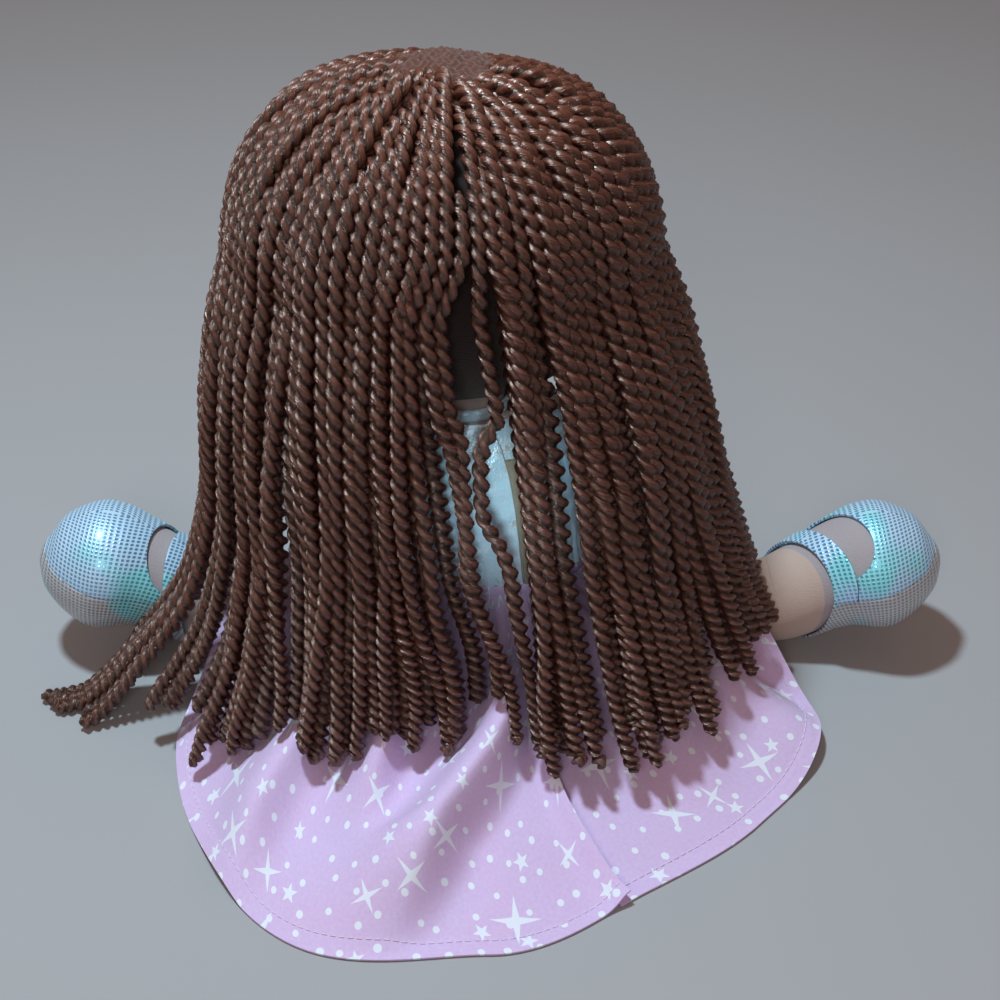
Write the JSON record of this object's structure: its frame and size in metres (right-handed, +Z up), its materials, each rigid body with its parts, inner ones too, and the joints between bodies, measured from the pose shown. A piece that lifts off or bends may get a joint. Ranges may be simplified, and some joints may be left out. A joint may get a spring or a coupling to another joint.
{
  "type": "rag doll",
  "caption": "Seated cloth rag doll with long twisted-yarn hair, foil bodice and slip-on shoes, gathered cotton skirt, nodding head, swinging arms and splayed legs.",
  "frame": {"origin": "middle of the flat seat, on the surface that the doll sits on", "axes": "+Z up; the doll faces -Y; +X is the doll's own left, along the splayed legs"},
  "size_m": [0.387, 0.2777, 0.2715],
  "materials": {
    "skin_cloth": "brushed brown knit over stuffing",
    "foot_cloth": "brushed knit, greyish lilac",
    "eye_thread": "satin-stitched embroidery",
    "nose_thread": "satin-stitched embroidery",
    "mouth_thread": "stem-stitched embroidery",
    "cap_cloth": "dark knit cap that the yarn is sewn to",
    "hair_yarn": "shiny two-ply twisted yarn",
    "bodice_foil": "light blue cloth with glitter foil",
    "shoe_foil": "iridescent dotted foil on knit",
    "closure_tape": "woven touch-close tape",
    "skirt_cotton": "pink printed plain-weave cotton"
  },
  "bodies": {
    "trunk": {"torso": "skin_cloth", "neck": "skin_cloth", "neck_binding": "bodice_foil", "bodice_front": "bodice_foil", "bodice_back_left": "bodice_foil", "bodice_back_right": "bodice_foil", "closure_loop_strip": "closure_tape", "closure_hook_strip": "closure_tape", "waistband": "skirt_cotton", "skirt_left": "skirt_cotton", "skirt_right": "skirt_cotton"},
    "head_group": {"head": "skin_cloth", "eye_left": "eye_thread", "eye_right": "eye_thread", "nose": "nose_thread", "mouth": "mouth_thread", "hair_cap": "cap_cloth", "hair_lock_01": "hair_yarn", "hair_lock_02": "hair_yarn", "hair_lock_03": "hair_yarn", "hair_lock_04": "hair_yarn", "hair_lock_05": "hair_yarn", "hair_lock_06": "hair_yarn", "hair_lock_07": "hair_yarn", "hair_lock_08": "hair_yarn", "hair_lock_09": "hair_yarn", "hair_lock_10": "hair_yarn", "hair_lock_11": "hair_yarn", "hair_lock_12": "hair_yarn", "hair_lock_13": "hair_yarn", "hair_lock_14": "hair_yarn", "hair_lock_15": "hair_yarn", "hair_lock_16": "hair_yarn", "hair_lock_17": "hair_yarn", "hair_lock_18": "hair_yarn", "hair_lock_19": "hair_yarn", "hair_lock_20": "hair_yarn", "hair_lock_21": "hair_yarn", "hair_lock_22": "hair_yarn", "hair_lock_23": "hair_yarn", "hair_lock_24": "hair_yarn", "hair_lock_25": "hair_yarn", "hair_lock_26": "hair_yarn"},
    "left_arm": {"arm_left": "skin_cloth", "sleeve_left": "bodice_foil"},
    "right_arm": {"arm_right": "skin_cloth", "sleeve_right": "bodice_foil"},
    "left_leg": {"leg_left": "skin_cloth", "foot_left": "foot_cloth", "shoe_upper_left": "shoe_foil", "shoe_strap_left": "shoe_foil", "shoe_sole_left": "shoe_foil"},
    "right_leg": {"leg_right": "skin_cloth", "foot_right": "foot_cloth", "shoe_upper_right": "shoe_foil", "shoe_strap_right": "shoe_foil", "shoe_sole_right": "shoe_foil"}
  },
  "joints": [
    {"name": "neck_nod", "type": "hinge", "parent": "trunk", "child": "head_group", "pos_m": [0.00982, 0, 0.143], "axis": [1, 0, 0], "range_deg": [-8, 25], "stiffness_Nm_per_rad": 0.6, "deforming": ["hair_lock_01", "hair_lock_02", "hair_lock_03", "hair_lock_04", "hair_lock_05", "hair_lock_06", "hair_lock_07", "hair_lock_08", "hair_lock_09", "hair_lock_10", "hair_lock_11", "hair_lock_12", "hair_lock_13", "hair_lock_14", "hair_lock_15", "hair_lock_16", "hair_lock_17", "hair_lock_18", "hair_lock_19", "hair_lock_20", "hair_lock_21", "hair_lock_22", "hair_lock_23", "hair_lock_24", "hair_lock_25", "hair_lock_26"]},
    {"name": "shoulder_left", "type": "hinge", "parent": "trunk", "child": "left_arm", "pos_m": [0.04707, 0, 0.1205], "axis": [-1, 0, 0], "range_deg": [-10, 95]},
    {"name": "shoulder_right", "type": "hinge", "parent": "trunk", "child": "right_arm", "pos_m": [-0.03293, 0, 0.1205], "axis": [-1, 0, 0], "range_deg": [-10, 95]},
    {"name": "hip_left", "type": "hinge", "parent": "trunk", "child": "left_leg", "pos_m": [0.042, -0.01, 0.0203], "axis": [0, 0, -1], "range_deg": [-5, 60], "deforming": ["skirt_left"]},
    {"name": "hip_right", "type": "hinge", "parent": "trunk", "child": "right_leg", "pos_m": [-0.042, -0.01, 0.0203], "axis": [0, 0, 1], "range_deg": [-5, 60], "deforming": ["skirt_right"]}
  ]
}
